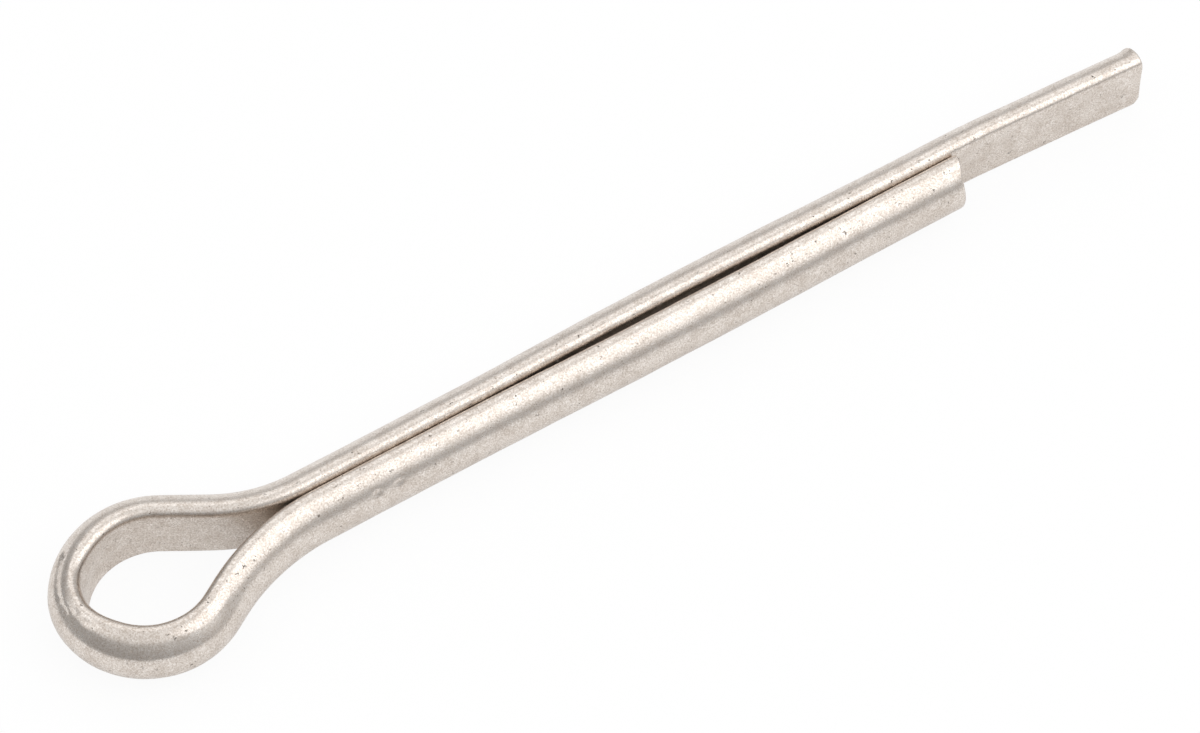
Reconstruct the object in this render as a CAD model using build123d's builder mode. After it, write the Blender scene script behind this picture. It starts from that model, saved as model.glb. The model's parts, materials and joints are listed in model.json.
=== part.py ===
"""Split pin (cotter pin), nominal size 4 x 40, millimetres.

One length of half-round steel wire, folded once with its flat side inward. The fold is opened
into an eye, and the two ends lie together as a round shank with a long and a short prong.

Origin: on the axis of the shank, where the neck of the eye ends and the shank begins.
+X runs along the shank towards the tips, +Y is the side of the long prong, and +Z is normal
to the plane of the eye. The pin lies flat, with that plane level.
"""

from build123d import *
import os
from math import atan, cos, degrees, radians, sin

# Wire: half-round, with the two edges of its flat rounded by drawing and plating
WIRE_RADIUS = 1.85
FLAT_EDGE_RADIUS = 0.26
FLAT_CLEARANCE = 0.04
END_EDGE_RADIUS = 0.12

# Shank: both prongs are closed at the neck and near the short tip, and stand apart between
SHORT_PRONG_LENGTH = 37.6
CLOSED_LENGTH = 6.6
BOW_LENGTH = 29.8
LONG_PRONG_BOW = 0.15
SHORT_PRONG_BOW = 0.1

# Long prong beyond the short tip: it leans a little across the end of the short prong
EXTENSION_LENGTH = 11.8
EXTENSION_LEAN = 3.0
EXTENSION_BEND_RADIUS = 60.0

# Eye, as the line of the wire's flat: neck, straight flank, shoulder and head on each side
FLANK_ANGLE = 31.4
HEAD_TILT = 1.4
LONG_SIDE_NECK_RADIUS = 9.37
LONG_SIDE_FLANK_LENGTH = 2.36
LONG_SIDE_SHOULDER_RADIUS = 3.41
LONG_SIDE_HEAD_RADIUS = 2.17
LONG_SIDE_HEAD_ARC = 29.7
SHORT_SIDE_NECK_RADIUS = 12.8
SHORT_SIDE_SHOULDER_RADIUS = 3.17
SHORT_SIDE_HEAD_RADIUS = 3.12
SHORT_SIDE_HEAD_ARC = 27.6

RIGHT_ANGLE = 90.0
flat_offset = FLAT_CLEARANCE / 2
bend_run = EXTENSION_BEND_RADIUS * sin(radians(EXTENSION_LEAN))
bend_drop = EXTENSION_BEND_RADIUS * (1 - cos(radians(EXTENSION_LEAN)))
straight_run = EXTENSION_LENGTH - bend_run
straight_drop = straight_run * sin(radians(EXTENSION_LEAN)) / cos(radians(EXTENSION_LEAN))


def arc_on(previous, radius, turn):
    """An arc that goes on from the end of the previous run. A positive turn is to the left."""
    return JernArc(start=previous @ 1, tangent=previous % 1, radius=radius, arc_size=turn)


def line_on(previous, length):
    """A straight run that goes on from the end of the previous run."""
    return Line(previous @ 1, previous @ 1 + (previous % 1) * length)


def bow_on(previous, height):
    """A prong's bow: it swings out from the axis by this height and comes back to it."""
    turn = 2 * atan(2 * height / BOW_LENGTH)
    radius = BOW_LENGTH / (4 * sin(turn))
    rise = arc_on(previous, radius, -degrees(turn))
    crest = arc_on(rise, radius, 2 * degrees(turn))
    return arc_on(crest, radius, -degrees(turn))


# The flat's line runs from the long tip round the eye to the short tip
long_tip = Vector(SHORT_PRONG_LENGTH + EXTENSION_LENGTH, flat_offset - bend_drop - straight_drop)
bend_end = Vector(SHORT_PRONG_LENGTH + bend_run, flat_offset - bend_drop)
long_neck = Vector(0, flat_offset)

with BuildPart() as split_pin:
    with BuildLine() as wire_line:
        extension = Line(long_tip, bend_end)
        bend = arc_on(extension, EXTENSION_BEND_RADIUS, EXTENSION_LEAN)
        long_end_run = line_on(bend, SHORT_PRONG_LENGTH - BOW_LENGTH - CLOSED_LENGTH)
        long_bow = bow_on(long_end_run, LONG_PRONG_BOW)
        long_closed_run = Line(long_bow @ 1, long_neck)

        neck = arc_on(long_closed_run, LONG_SIDE_NECK_RADIUS, -FLANK_ANGLE)
        flank = line_on(neck, LONG_SIDE_FLANK_LENGTH)
        long_side_turn = RIGHT_ANGLE + FLANK_ANGLE + HEAD_TILT
        shoulder = arc_on(flank, LONG_SIDE_SHOULDER_RADIUS, long_side_turn - LONG_SIDE_HEAD_ARC)
        head = arc_on(shoulder, LONG_SIDE_HEAD_RADIUS, LONG_SIDE_HEAD_ARC)

        short_side_turn = RIGHT_ANGLE + FLANK_ANGLE - HEAD_TILT
        short_head = arc_on(head, SHORT_SIDE_HEAD_RADIUS, SHORT_SIDE_HEAD_ARC)
        short_shoulder = arc_on(
            short_head, SHORT_SIDE_SHOULDER_RADIUS, short_side_turn - SHORT_SIDE_HEAD_ARC
        )
        neck_rise = SHORT_SIDE_NECK_RADIUS * (1 - cos(radians(FLANK_ANGLE)))
        flank_rise = -flat_offset - neck_rise - (short_shoulder @ 1).Y
        short_flank = line_on(short_shoulder, flank_rise / sin(radians(FLANK_ANGLE)))
        short_neck = arc_on(short_flank, SHORT_SIDE_NECK_RADIUS, -FLANK_ANGLE)

        short_closed_run = Line(short_neck @ 1, Vector(CLOSED_LENGTH, -flat_offset))
        short_bow = bow_on(short_closed_run, SHORT_PRONG_BOW)
        Line(short_bow @ 1, Vector(SHORT_PRONG_LENGTH, -flat_offset))

    outward = Vector(0, 0, -1).cross(extension % 0)
    with BuildSketch(Plane(origin=long_tip, x_dir=outward, z_dir=extension % 0)):
        Circle(WIRE_RADIUS)
        split(bisect_by=Plane.YZ)
        fillet(vertices(), FLAT_EDGE_RADIUS)
    sweep(path=wire_line.line)

    cut_ends = split_pin.faces().sort_by(Axis.X)
    long_cut = cut_ends[-1]
    short_cut = split_pin.faces().filter_by(Axis.X)[0]
    fillet(long_cut.edges() + short_cut.edges(), END_EDGE_RADIUS)

split_pin.part.label = "split_pin"

os.makedirs("parts", exist_ok=True)
export_step(split_pin.part, "parts/split_pin.step")
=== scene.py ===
import json
from math import atan, atan2, cos, pi, radians, sin, sqrt

import bmesh
import bpy
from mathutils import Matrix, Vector


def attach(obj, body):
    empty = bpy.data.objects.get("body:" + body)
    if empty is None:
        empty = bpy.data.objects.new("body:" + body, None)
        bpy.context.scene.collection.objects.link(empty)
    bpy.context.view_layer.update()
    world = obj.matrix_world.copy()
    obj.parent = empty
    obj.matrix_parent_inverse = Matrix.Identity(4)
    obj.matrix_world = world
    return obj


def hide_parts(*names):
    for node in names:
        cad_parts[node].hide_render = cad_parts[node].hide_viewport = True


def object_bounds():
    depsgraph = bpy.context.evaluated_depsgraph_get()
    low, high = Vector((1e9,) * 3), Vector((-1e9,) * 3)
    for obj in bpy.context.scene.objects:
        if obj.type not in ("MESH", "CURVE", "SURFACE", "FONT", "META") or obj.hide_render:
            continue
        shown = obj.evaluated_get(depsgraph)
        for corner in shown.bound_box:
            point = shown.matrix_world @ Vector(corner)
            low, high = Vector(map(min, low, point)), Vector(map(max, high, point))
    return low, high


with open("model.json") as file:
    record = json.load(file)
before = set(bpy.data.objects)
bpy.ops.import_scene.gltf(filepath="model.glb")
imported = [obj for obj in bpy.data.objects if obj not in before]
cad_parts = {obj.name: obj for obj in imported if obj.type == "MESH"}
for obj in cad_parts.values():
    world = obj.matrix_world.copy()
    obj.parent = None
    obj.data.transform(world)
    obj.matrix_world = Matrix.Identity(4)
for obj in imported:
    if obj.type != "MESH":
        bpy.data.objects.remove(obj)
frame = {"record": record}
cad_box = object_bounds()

# ---------------------------------------------------------------------------------------------
# Camera: a long lens looks down on the pin from the side of the short prong, so that the pin
# runs from the eye at lower left to the long tip at upper right. It has no tilt to the side.

MM = 0.001
LOOK_TURN = radians(32.3)
LOOK_DOWN = radians(55.9)
LOOK_DISTANCE = 274.8 * MM
LENS_MM = 164.84
SENSOR_MM = 36.0

box_low = Vector(cad_box[0])
box_high = Vector(cad_box[1])
look_at = (box_low + box_high) / 2 + Vector((-0.73, 0.35, -1.85)) * MM
back_from_pin = Vector((
    -sin(LOOK_TURN) * cos(LOOK_DOWN),
    -cos(LOOK_TURN) * cos(LOOK_DOWN),
    sin(LOOK_DOWN),
))

camera_data = bpy.data.cameras.new("camera")
camera_data.lens = LENS_MM
camera_data.sensor_width = SENSOR_MM
camera_data.clip_start = 0.01
camera_data.clip_end = 10.0
camera = bpy.data.objects.new("camera", camera_data)
bpy.context.collection.objects.link(camera)
camera.location = look_at + back_from_pin * LOOK_DISTANCE
camera.rotation_euler = (-back_from_pin).to_track_quat("-Z", "Y").to_euler()
bpy.context.scene.camera = camera
bpy.context.scene.view_settings.view_transform = "Standard"

# ---------------------------------------------------------------------------------------------
# Split pin: one length of half-round steel wire, drawn, cropped square at both ends and folded
# flat side inward round a former, which leaves an open eye. The two prongs close to a shank.

WIRE_RADIUS = frame["record"]["mounts"][0]["dims"]["r_mm"] * MM
FLAT_EDGE_RADIUS = 0.26 * MM
FLAT_CLEARANCE = 0.04 * MM
END_EDGE = 0.12 * MM
END_EDGE_STEPS = 4
ROUND_POINTS = 56
FLAT_CUTS = 21
EDGE_SEGMENTS = 7
RING_SPACING = 0.17 * MM
NO_GAP = 0.0001 * MM
ON_CHORD = WIRE_RADIUS * 0.001
ON_CORNER = WIRE_RADIUS * 0.01
ON_FLAT = FLAT_EDGE_RADIUS * 0.01
SMOOTH_UNDER = radians(30)

SHORT_PRONG_LENGTH = 37.6 * MM
CLOSED_LENGTH = 6.6 * MM
BOW_LENGTH = 29.8 * MM
LONG_PRONG_BOW = 0.15 * MM
SHORT_PRONG_BOW = 0.10 * MM
EXTENSION_LENGTH = 11.8 * MM
EXTENSION_LEAN = radians(3.0)
EXTENSION_BEND_RADIUS = 60.0 * MM

FLANK_ANGLE = radians(31.4)
HEAD_TILT = radians(1.4)
LONG_NECK_RADIUS = 9.37 * MM
LONG_FLANK_LENGTH = 2.36 * MM
LONG_SHOULDER_RADIUS = 3.41 * MM
LONG_HEAD_RADIUS = 2.17 * MM
LONG_HEAD_ARC = radians(29.7)
SHORT_NECK_RADIUS = 12.8 * MM
SHORT_SHOULDER_RADIUS = 3.17 * MM
SHORT_HEAD_RADIUS = 3.12 * MM
SHORT_HEAD_ARC = radians(27.6)


def along(turn):
    """The level direction at this angle from +X."""
    return Vector((cos(turn), sin(turn), 0))


flat_offset = FLAT_CLEARANCE / 2
bend_run = EXTENSION_BEND_RADIUS * sin(EXTENSION_LEAN)
bend_drop = EXTENSION_BEND_RADIUS * (1 - cos(EXTENSION_LEAN))
extension_run = EXTENSION_LENGTH - bend_run
extension_drop = extension_run * sin(EXTENSION_LEAN) / cos(EXTENSION_LEAN)

# The line of the flat, as it is drawn from the long tip to the short tip
spine = [Vector((
    SHORT_PRONG_LENGTH + EXTENSION_LENGTH,
    flat_offset - bend_drop - extension_drop,
    0,
))]
heading = [pi - EXTENSION_LEAN]

FLAT_SIDE = -pi / 2


def outward(angle_from_heading=FLAT_SIDE):
    """The level direction in which the round side of the wire's end faces."""
    return along(heading[-1] + angle_from_heading)


def mark(test, kind="VERT"):
    """Selects, in edit mode, only the vertices, edges or faces whose middle passes the test."""
    bpy.ops.mesh.select_mode(type=kind)
    bpy.ops.mesh.select_all(action="DESELECT")
    edit = bmesh.from_edit_mesh(pin.data)
    for vert in edit.verts if kind == "VERT" else []:
        vert.select_set(test(vert.co))
    for edge in edit.edges if kind == "EDGE" else []:
        edge.select_set(test((edge.verts[0].co + edge.verts[1].co) / 2))
    for face in edit.faces if kind == "FACE" else []:
        face.select_set(test(face.calc_center_median()))
    bmesh.update_edit_mesh(pin.data)


# The section: a round back, two small corner rounds tangent to it, and the flat
corner_height = sqrt((WIRE_RADIUS - FLAT_EDGE_RADIUS) ** 2 - FLAT_EDGE_RADIUS ** 2)
back_half_angle = atan2(corner_height, FLAT_EDGE_RADIUS)
bpy.ops.object.select_all(action="DESELECT")
bpy.ops.mesh.primitive_circle_add(
    vertices=ROUND_POINTS * 2,
    radius=WIRE_RADIUS,
    fill_type="NGON",
    location=spine[0],
    rotation=(pi / 2, 0, heading[0] + pi / 2),
)
pin = bpy.context.object
pin.name = "split_pin_wire"
bpy.ops.object.transform_apply(location=True, rotation=True, scale=True)
bpy.ops.object.mode_set(mode="EDIT")
bpy.ops.mesh.select_all(action="SELECT")
chord = spine[0] + outward() * WIRE_RADIUS * cos(back_half_angle)
bpy.ops.mesh.bisect(plane_co=chord, plane_no=-outward(), clear_outer=True, threshold=NO_GAP)
mark(lambda co: abs((co - chord).dot(outward())) < ON_CHORD, "EDGE")
bpy.ops.mesh.delete(type="EDGE_FACE")
chord_end = WIRE_RADIUS * sin(back_half_angle)
for side in (1, -1):
    mark(lambda co: (
        abs((co - chord).dot(outward())) < ON_CHORD
        and abs(co.z - side * chord_end) < ON_CORNER
    ))
    bpy.ops.mesh.spin(
        steps=EDGE_SEGMENTS,
        angle=side * (pi - back_half_angle),
        center=spine[0] + outward() * FLAT_EDGE_RADIUS + Vector((0, 0, side * corner_height)),
        axis=along(heading[0]),
    )
mark(lambda co: abs((co - spine[0]).dot(outward())) < ON_FLAT)
bpy.ops.mesh.edge_face_add()
bpy.ops.mesh.subdivide(number_cuts=FLAT_CUTS)
bpy.ops.mesh.select_all(action="SELECT")
bpy.ops.mesh.edge_face_add()


def straight(length):
    """Extrudes the wire's end straight on."""
    steps = max(1, round(length / RING_SPACING))
    step = along(heading[-1]) * length / steps
    bpy.ops.mesh.extrude_repeat(steps=steps, offset=step)
    for _ in range(steps):
        spine.append(spine[-1] + step)
        heading.append(heading[-1])


def bend(radius, turn):
    """Spins the wire's end round a former. A positive turn is to the left."""
    steps = max(1, round(abs(turn) * radius / RING_SPACING))
    side = 1 if turn > 0 else -1
    centre = spine[-1] + along(heading[-1] + side * pi / 2) * radius
    bpy.ops.mesh.spin(steps=steps, angle=-turn, center=centre, axis=(0, 0, 1))
    for _ in range(steps):
        heading.append(heading[-1] + turn / steps)
        spine.append(centre + along(heading[-1] - side * pi / 2) * radius)


def bow(height):
    """Three large bends that lift a prong off the shank's axis and bring it back."""
    turn = 2 * atan(2 * height / BOW_LENGTH)
    radius = BOW_LENGTH / (4 * sin(turn))
    bend(radius, -turn)
    bend(radius, 2 * turn)
    bend(radius, -turn)


for _ in range(END_EDGE_STEPS):
    straight(END_EDGE / END_EDGE_STEPS)
straight(extension_run / cos(EXTENSION_LEAN) - END_EDGE)
bend(EXTENSION_BEND_RADIUS, EXTENSION_LEAN)
straight(SHORT_PRONG_LENGTH - BOW_LENGTH - CLOSED_LENGTH)
bow(LONG_PRONG_BOW)
straight(CLOSED_LENGTH)
bend(LONG_NECK_RADIUS, -FLANK_ANGLE)
straight(LONG_FLANK_LENGTH)
bend(LONG_SHOULDER_RADIUS, pi / 2 + FLANK_ANGLE + HEAD_TILT - LONG_HEAD_ARC)
bend(LONG_HEAD_RADIUS, LONG_HEAD_ARC)
bend(SHORT_HEAD_RADIUS, SHORT_HEAD_ARC)
bend(SHORT_SHOULDER_RADIUS, pi / 2 + FLANK_ANGLE - HEAD_TILT - SHORT_HEAD_ARC)
short_neck_rise = SHORT_NECK_RADIUS * (1 - cos(FLANK_ANGLE))
straight((-flat_offset - short_neck_rise - spine[-1].y) / sin(FLANK_ANGLE))
bend(SHORT_NECK_RADIUS, -FLANK_ANGLE)
straight(CLOSED_LENGTH - spine[-1].x)
bow(SHORT_PRONG_BOW)
straight(SHORT_PRONG_LENGTH - spine[-1].x - END_EDGE)
for _ in range(END_EDGE_STEPS):
    straight(END_EDGE / END_EDGE_STEPS)
bpy.ops.mesh.select_all(action="SELECT")
bpy.ops.mesh.normals_make_consistent(inside=False)
bpy.ops.object.mode_set(mode="OBJECT")
bpy.ops.object.shade_smooth_by_angle(angle=SMOOTH_UNDER)

# How far each ring of the mesh lies along the wire, from the long tip
run = [0.0]
for before, after in zip(spine, spine[1:]):
    run.append(run[-1] + (after - before).length)
ring_size = len(pin.data.vertices) // len(spine)
FLAT_HALF_HEIGHT = corner_height + FLAT_EDGE_RADIUS


def ring_of(vert):
    """The ring of the wire in whose plane a vertex lies."""
    guess = vert.index // ring_size
    near = [k for k in (guess - 1, guess, guess + 1) if 0 <= k < len(spine)]
    return min(near, key=lambda k: abs((vert.co - spine[k]).dot(along(heading[k]))))


def fade(value, start, end):
    """A smooth step that is 0 at start and 1 at end."""
    part = min(1.0, max(0.0, (value - start) / (end - start)))
    return part * part * (3 - 2 * part)


def run_at(x, y):
    """How far along the wire the flat passes closest to a place."""
    return run[min(range(len(spine)), key=lambda k: (spine[k] - Vector((x, y, 0))).length)]


# Marks of forming. The former's shoulder left a narrow facet along the back of the head and
# leaned the flat's upper rim out where the eye is tightest. The flat's upper edge is rubbed
# rounder than the lower one. The shear turned up a burr on the long tip, slanted the short
# tip and rubbed the lower corners of both round.
FACET_TOP = radians(37)
FACET_FOOT = radians(62)
FACET_START = run_at(-11.6 * MM, 2.2 * MM)
FACET_END = run_at(-7.2 * MM, -2.3 * MM)
FACET_RUN_OUT = 1.6 * MM
FACET_STRENGTH = 0.7
RIM_LEAN = 0.22 * MM
RIM_LEAN_PLACE = run_at(-12.0 * MM, 0.9 * MM)
RIM_LEAN_FULL = 0.6 * MM
RIM_LEAN_REACH = 2.6 * MM
RIM_LEAN_DEPTH = 0.75 * WIRE_RADIUS
RIM_LEAN_FOOT = 0.3 * MM
BURR_RISE = 0.13 * MM
BURR_RUN = 0.6 * MM
BURR_FROM = radians(5)
BURR_FULL = radians(45)
BURR_LEAN = 0.5
SHEAR_LEAD = 0.45 * MM
UPPER_EDGE_RADIUS = 0.50 * MM
upper_edge_height = sqrt((WIRE_RADIUS - UPPER_EDGE_RADIUS) ** 2 - UPPER_EDGE_RADIUS ** 2)
upper_edge_start = atan2(upper_edge_height, UPPER_EDGE_RADIUS)
CORNER_WEAR = 0.55 * MM
CORNER_WEAR_HEIGHT = 0.6 * MM
CORNER_WEAR_RUN = 2.4 * MM
SECTION_MIDDLE = 0.45 * WIRE_RADIUS
facet_middle = (FACET_TOP + FACET_FOOT) / 2
facet_depth = WIRE_RADIUS * cos((FACET_FOOT - FACET_TOP) / 2)
for vert in pin.data.vertices:
    ring = ring_of(vert)
    back = along(heading[ring] + FLAT_SIDE)
    out = (vert.co - spine[ring]).dot(back)
    here = run[ring]

    over = vert.co.z - upper_edge_height
    reach = sqrt((out - UPPER_EDGE_RADIUS) ** 2 + over * over)
    if over > 0 and reach > UPPER_EDGE_RADIUS:
        if atan2(over, out - UPPER_EDGE_RADIUS) > upper_edge_start:
            rubbed = UPPER_EDGE_RADIUS / reach
            vert.co += back * (out - UPPER_EDGE_RADIUS) * (rubbed - 1)
            vert.co.z = upper_edge_height + over * rubbed
            out = (vert.co - spine[ring]).dot(back)

    lean_from_top = atan2(out, vert.co.z)
    if FACET_TOP < lean_from_top < FACET_FOOT:
        share = fade(here, FACET_START - FACET_RUN_OUT, FACET_START)
        share *= FACET_STRENGTH * (1 - fade(here, FACET_END, FACET_END + FACET_RUN_OUT))
        reach = sqrt(out * out + vert.co.z * vert.co.z)
        pressed = min(reach, facet_depth / cos(lean_from_top - facet_middle))
        scale = 1 + share * (pressed / reach - 1)
        vert.co += back * out * (scale - 1)
        vert.co.z *= scale

    if vert.co.z > 0:
        share = 1 - fade(abs(here - RIM_LEAN_PLACE), RIM_LEAN_FULL, RIM_LEAN_REACH)
        share *= 1 - fade(out, 0.0, RIM_LEAN_DEPTH)
        vert.co += back * RIM_LEAN * share * fade(vert.co.z, RIM_LEAN_FOOT, FLAT_HALF_HEIGHT)

    to_end = min(here, run[-1] - here)
    if vert.co.z < CORNER_WEAR_HEIGHT - FLAT_HALF_HEIGHT:
        worn = (CORNER_WEAR_HEIGHT - FLAT_HALF_HEIGHT - vert.co.z) / CORNER_WEAR_HEIGHT
        inward = along(heading[ring]) * (1 if here < run[-1] / 2 else -1)
        share = max(0.0, 1 - to_end / CORNER_WEAR_RUN)
        vert.co += inward * CORNER_WEAR * worn * worn * share
    if here > run[-1] - CORNER_WEAR_RUN and vert.co.z > 0:
        lead = fade(vert.co.z, 0.0, FLAT_HALF_HEIGHT) * (1 - fade(out, 0.0, WIRE_RADIUS))
        vert.co += along(heading[ring]) * SHEAR_LEAD * lead * (1 - to_end / CORNER_WEAR_RUN)
    if here < BURR_RUN and out > 0 and vert.co.z > 0:
        turned_up = (1 - here / BURR_RUN) ** 2 * fade(lean_from_top, BURR_FROM, BURR_FULL)
        vert.co += (Vector((0, 0, 1)) + back * BURR_LEAN) * BURR_RISE * turned_up
    if to_end < END_EDGE:
        rounding = 1 - sqrt(1 - (1 - to_end / END_EDGE) ** 2)
        middle = spine[ring] + back * SECTION_MIDDLE
        inset = middle - vert.co
        inset.z = -vert.co.z
        vert.co += inset.normalized() * END_EDGE * rounding

# Marks of the former and the plating barrel: a nick at the side of the head, with a crease
# that runs on from it, two dents past the crease, and shallow pits on the back.
head_middle = run_at(box_low.x, 0)


def press(past_head, lean, reach, depth):
    """Presses a soft dent, placed by its run past the head and its angle over from the top."""
    ring = min(range(len(run)), key=lambda k: abs(run[k] - head_middle - past_head))
    over_back = along(heading[ring] + FLAT_SIDE) * sin(lean) + Vector((0, 0, cos(lean)))
    middle = spine[ring] + over_back * WIRE_RADIUS
    near = [v for v in pin.data.vertices if (v.co - middle).length < reach]
    pushes = [v.normal * depth * fade((v.co - middle).length, reach, 0) for v in near]
    for vert, push in zip(near, pushes):
        vert.co -= push


NICK_BEFORE_HEAD = 2.5 * MM
CREASE_STEP = 0.35 * MM
CREASE_STEPS = 6
CREASE_LEAN = radians(46)
DENT_REACH = 0.32 * MM
press(past_head=-NICK_BEFORE_HEAD, lean=CREASE_LEAN, reach=0.34 * MM, depth=0.20 * MM)
for step in range(1, CREASE_STEPS + 1):
    past_head = step * CREASE_STEP - NICK_BEFORE_HEAD
    press(past_head, lean=CREASE_LEAN, reach=0.28 * MM, depth=0.09 * MM)
for past_head in (0.0, 0.6 * MM):
    press(past_head, lean=radians(31), reach=DENT_REACH, depth=0.07 * MM)
press(past_head=5.0 * MM, lean=radians(78), reach=DENT_REACH, depth=0.10 * MM)
for past_head in (17.0 * MM, 18.2 * MM):
    press(past_head, lean=radians(60), reach=DENT_REACH, depth=0.06 * MM)

# The drawn surface is not quite true: it wanders by a few hundredths of a millimetre
WIDE_SPACING, WIDE_SWING = 2.4, 0.030
CLOSE_SPACING, CLOSE_SWING = 0.7, 0.006
for spacing, swing in ((WIDE_SPACING, WIDE_SWING), (CLOSE_SPACING, CLOSE_SWING)):
    waves = bpy.data.textures.new("drawn_unevenness", "CLOUDS")
    waves.noise_scale = spacing * MM
    uneven = pin.modifiers.new("drawn_unevenness", "DISPLACE")
    uneven.texture = waves
    uneven.texture_coords = "LOCAL"
    uneven.strength = swing * MM
    uneven.mid_level = 0.5
    bpy.ops.object.modifier_apply(modifier=uneven.name)


def to_linear(hex_colour):
    """An sRGB hex colour as linear red, green, blue and full alpha."""
    parts = [int(hex_colour[i:i + 2], 16) / 255 for i in (1, 3, 5)]
    return [c / 12.92 if c <= 0.04045 else ((c + 0.055) / 1.055) ** 2.4 for c in parts] + [1.0]


def add_node(tree, kind, settings=None, links=None):
    """Adds a shader node, sets its properties and sockets, and links other sockets into it."""
    node = tree.nodes.new(kind)
    for name, value in (settings or {}).items():
        if isinstance(name, str) and hasattr(node, name):
            setattr(node, name, value)
        else:
            node.inputs[name].default_value = value
    for name, socket in (links or {}).items():
        tree.links.new(socket, node.inputs[name])
    return node


# Zinc-plated drawn steel: a warm silver metal, satin rather than bright. It has a fine grit
# from the plating, cloudy patches and small pits, and the pits are painted darker as painted
# shade.
# The plating's own grain is too fine to show, so the grit is drawn as coarse as it needs to be.
GRIT_SIZE = 0.085 * MM
CLOUD_SIZE = 0.75 * MM
PIT_SPACING = 0.34 * MM
PIT_START = 0.63
PIT_FULL = 0.72
CLEAN_STEEL = to_linear("#FFF9F3")
DULL_STEEL = to_linear("#C5B9AE")
# The colour in the pits is darker: painted shade in the pits.
PIT_SHADE_STEEL = to_linear("#7E746B")
CLEAN_ROUGHNESS = 0.21
DULL_ROUGHNESS = 0.36
steel = bpy.data.materials.new("zinc_plated_drawn_steel")
steel.use_nodes = True
tree = steel.node_tree
shader = tree.nodes["Principled BSDF"]
place = add_node(tree, "ShaderNodeTexCoord")
grit = add_node(
    tree, "ShaderNodeTexNoise", {"Scale": 1 / GRIT_SIZE, "Detail": 2.0, "Roughness": 0.65},
    {"Vector": place.outputs["Object"]},
)
clouds = add_node(
    tree, "ShaderNodeTexNoise", {"Scale": 1 / CLOUD_SIZE, "Detail": 4.0, "Roughness": 0.6},
    {"Vector": place.outputs["Object"]},
)
pit_field = add_node(
    tree, "ShaderNodeTexNoise", {"Scale": 1 / PIT_SPACING, "Detail": 5.0, "Roughness": 0.72},
    {"Vector": place.outputs["Object"]},
)
# Where the pits lie: they are pressed in as relief and also painted darker as painted shade.
pits_and_pit_shade = add_node(
    tree, "ShaderNodeMapRange",
    {"interpolation_type": "SMOOTHSTEP", "From Min": PIT_START, "From Max": PIT_FULL},
    {"Value": pit_field.outputs[0]},
)

# How dull each spot is: a little all over, then mostly grit, then clouds
EVEN_DULLNESS = 0.22
GRIT_DULLNESS = 0.64
CLOUD_DULLNESS = 0.24
grit_part = add_node(
    tree, "ShaderNodeMapRange",
    {"From Min": 0.34, "From Max": 0.66, "To Max": GRIT_DULLNESS, "clamp": False},
    {"Value": grit.outputs[0]},
)
cloud_part = add_node(
    tree, "ShaderNodeMapRange",
    {"From Min": 0.35, "From Max": 0.65, "To Min": EVEN_DULLNESS,
     "To Max": EVEN_DULLNESS + CLOUD_DULLNESS, "clamp": False},
    {"Value": clouds.outputs[0]},
)
dull = add_node(
    tree, "ShaderNodeMath", {"operation": "ADD", "use_clamp": True},
    {0: grit_part.outputs["Result"], 1: cloud_part.outputs["Result"]},
)
metal_colour = add_node(
    tree, "ShaderNodeMix",
    {"data_type": "RGBA", 6: CLEAN_STEEL, 7: DULL_STEEL},
    {0: dull.outputs[0]},
)
# Darkens the colour in the pits: painted shade.
pit_shaded_colour = add_node(
    tree, "ShaderNodeMix", {"data_type": "RGBA", 7: PIT_SHADE_STEEL},
    {0: pits_and_pit_shade.outputs[0], 6: metal_colour.outputs[2]},
)
roughness = add_node(
    tree, "ShaderNodeMapRange", {"To Min": CLEAN_ROUGHNESS, "To Max": DULL_ROUGHNESS},
    {"Value": dull.outputs[0]},
)

# The relief, in millimetres
GRIT_RELIEF = 0.0045
PIT_DEPTH = 0.03
grit_relief = add_node(
    tree, "ShaderNodeMath", {"operation": "MULTIPLY", 1: GRIT_RELIEF}, {0: grit.outputs[0]},
)
relief = add_node(
    tree, "ShaderNodeMath", {"operation": "MULTIPLY_ADD", 1: -PIT_DEPTH},
    {0: pits_and_pit_shade.outputs[0], 2: grit_relief.outputs[0]},
)
bump = add_node(
    tree, "ShaderNodeBump", {"Strength": 1.0, "Distance": MM}, {"Height": relief.outputs[0]},
)
shader.inputs["Metallic"].default_value = 1.0
tree.links.new(pit_shaded_colour.outputs[2], shader.inputs["Base Color"])
tree.links.new(roughness.outputs["Result"], shader.inputs["Roughness"])
tree.links.new(bump.outputs["Normal"], shader.inputs["Normal"])
pin.data.materials.clear()
pin.data.materials.append(steel)
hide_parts("split_pin")
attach(pin, "root")

# ---------------------------------------------------------------------------------------------
# Floor: a plain white table top, larger than the view. The pin rests on it.

TABLE_SIZE = 4.0
bpy.ops.object.select_all(action="DESELECT")
bpy.ops.mesh.primitive_plane_add(size=TABLE_SIZE, location=(0, 0, box_low.z))
floor = bpy.context.object
floor.name = "floor"
bpy.ops.object.transform_apply(location=True, rotation=True, scale=True)
white = bpy.data.materials.new("white_table")
white.use_nodes = True
tree = white.node_tree
tree.nodes["Principled BSDF"].inputs["Base Color"].default_value = to_linear("#FFFFFF")
tree.nodes["Principled BSDF"].inputs["Roughness"].default_value = 1.0
tree.nodes["Principled BSDF"].inputs["Specular IOR Level"].default_value = 0.0
CAMERA_SHARE = 0.92
GLOSSY_SHARE = 0.35
light_path = add_node(tree, "ShaderNodeLightPath")
camera_share = add_node(
    tree, "ShaderNodeMath", {"operation": "MULTIPLY", 1: CAMERA_SHARE},
    {0: light_path.outputs["Is Camera Ray"]},
)
share = add_node(
    tree, "ShaderNodeMath", {"operation": "MULTIPLY_ADD", 1: GLOSSY_SHARE},
    {0: light_path.outputs["Is Glossy Ray"], 2: camera_share.outputs[0]},
)
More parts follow.
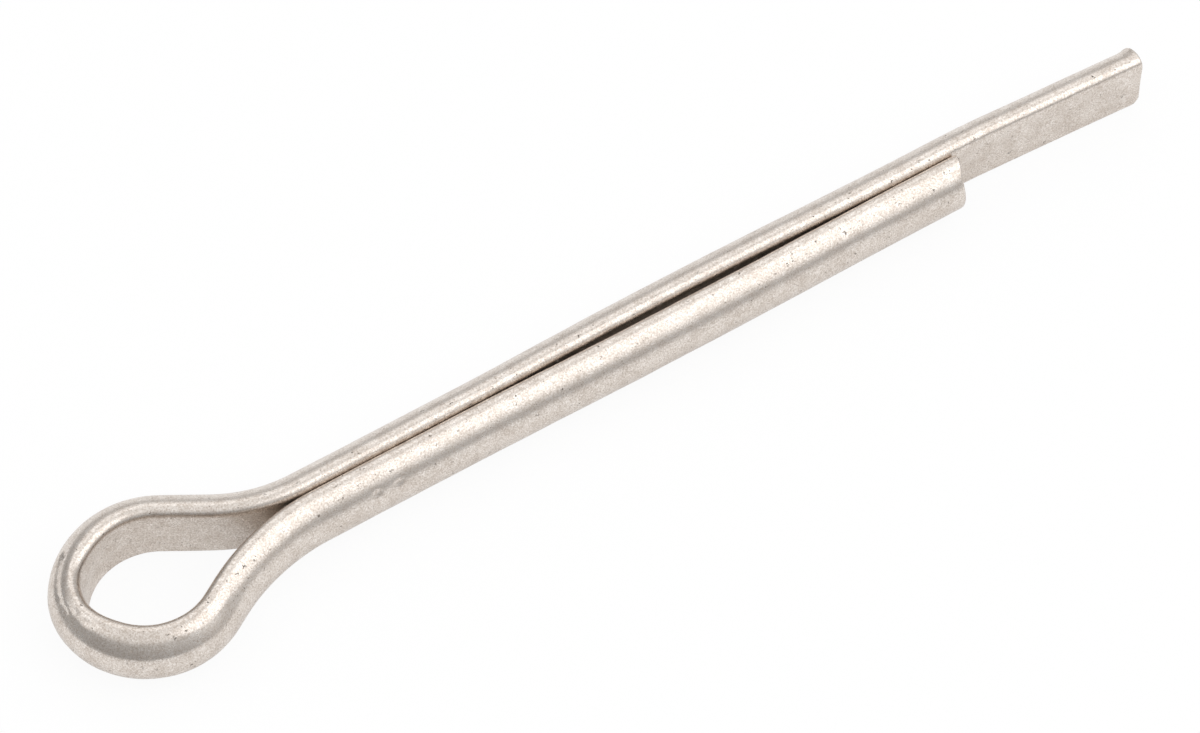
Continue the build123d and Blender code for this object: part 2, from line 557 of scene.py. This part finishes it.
glow = add_node(tree, "ShaderNodeEmission", {"Color": (1, 1, 1, 1), "Strength": 1.0})
mixed = add_node(
    tree, "ShaderNodeMixShader", {},
    {0: share.outputs[0], 1: tree.nodes["Principled BSDF"].outputs[0], 2: glow.outputs[0]},
)
tree.links.new(mixed.outputs[0], tree.nodes["Material Output"].inputs["Surface"])
floor.data.materials.append(white)

# ---------------------------------------------------------------------------------------------
# Light: three soft boxes hang round the table, a bright one to the right of the camera, a dim
# one behind the pin and a small one to the left, under a pale ceiling with darker walls.

CEILING_GLOW = 0.94
NEAR_WALL_GLOW = 0.26
FAR_WALL_GLOW = 0.50
FAR_WALL_SIDE = radians(35)
WALL_BLEND = 0.8
WALL_TOP = 0.12
CEILING_FROM = 0.92
LAMP_DISTANCE = 0.6
world = bpy.data.worlds.new("room")
bpy.context.scene.world = world
world.use_nodes = True
tree = world.node_tree
room = tree.nodes["Background"]
room.inputs["Strength"].default_value = 1.0
way_out = add_node(tree, "ShaderNodeTexCoord")
height = add_node(tree, "ShaderNodeSeparateXYZ", {}, {0: way_out.outputs["Generated"]})
towards_far_wall = add_node(
    tree, "ShaderNodeVectorMath",
    {"operation": "DOT_PRODUCT", 1: along(FAR_WALL_SIDE - LOOK_TURN)},
    {0: way_out.outputs["Generated"]},
)
wall_glow = add_node(
    tree, "ShaderNodeMapRange",
    {"interpolation_type": "SMOOTHSTEP", "From Min": -WALL_BLEND, "From Max": WALL_BLEND,
     "To Min": NEAR_WALL_GLOW, "To Max": FAR_WALL_GLOW},
    {"Value": towards_far_wall.outputs["Value"]},
)
glow = add_node(
    tree, "ShaderNodeMapRange",
    {"interpolation_type": "SMOOTHSTEP", "From Min": WALL_TOP, "From Max": CEILING_FROM,
     "To Max": CEILING_GLOW},
    {"Value": height.outputs["Z"], "To Min": wall_glow.outputs["Result"]},
)
tree.links.new(glow.outputs["Result"], room.inputs["Color"])
light_path = add_node(tree, "ShaderNodeLightPath")
page = add_node(tree, "ShaderNodeBackground", {"Color": (1, 1, 1, 1), "Strength": 1.0})
mixed = add_node(
    tree, "ShaderNodeMixShader", {},
    {0: light_path.outputs["Is Camera Ray"], 1: room.outputs[0], 2: page.outputs[0]},
)
tree.links.new(mixed.outputs[0], tree.nodes["World Output"].inputs["Surface"])


def soft_box(name, side_angle, height_angle, width, height, glow):
    """A soft box that faces the pin. side_angle is counted from the camera's right hand."""
    lamp = bpy.data.lights.new(name, "AREA")
    lamp.shape = "RECTANGLE"
    lamp.size = width
    lamp.size_y = height
    lamp.energy = glow * pi * width * height
    box = bpy.data.objects.new(name, lamp)
    bpy.context.collection.objects.link(box)
    way = along(side_angle - LOOK_TURN) * cos(height_angle) + Vector((0, 0, sin(height_angle)))
    box.location = look_at + way * LAMP_DISTANCE
    box.rotation_euler = (-way).to_track_quat("-Z", "Y").to_euler()


soft_box(
    "soft_box_right", side_angle=radians(-8), height_angle=radians(46),
    width=0.58, height=0.54, glow=0.86,
)
soft_box(
    "soft_box_back", side_angle=radians(95), height_angle=radians(40),
    width=0.60, height=0.60, glow=0.34,
)
soft_box(
    "soft_box_left", side_angle=radians(190), height_angle=radians(37),
    width=0.36, height=0.40, glow=0.42,
)

bpy.context.view_layer.update()
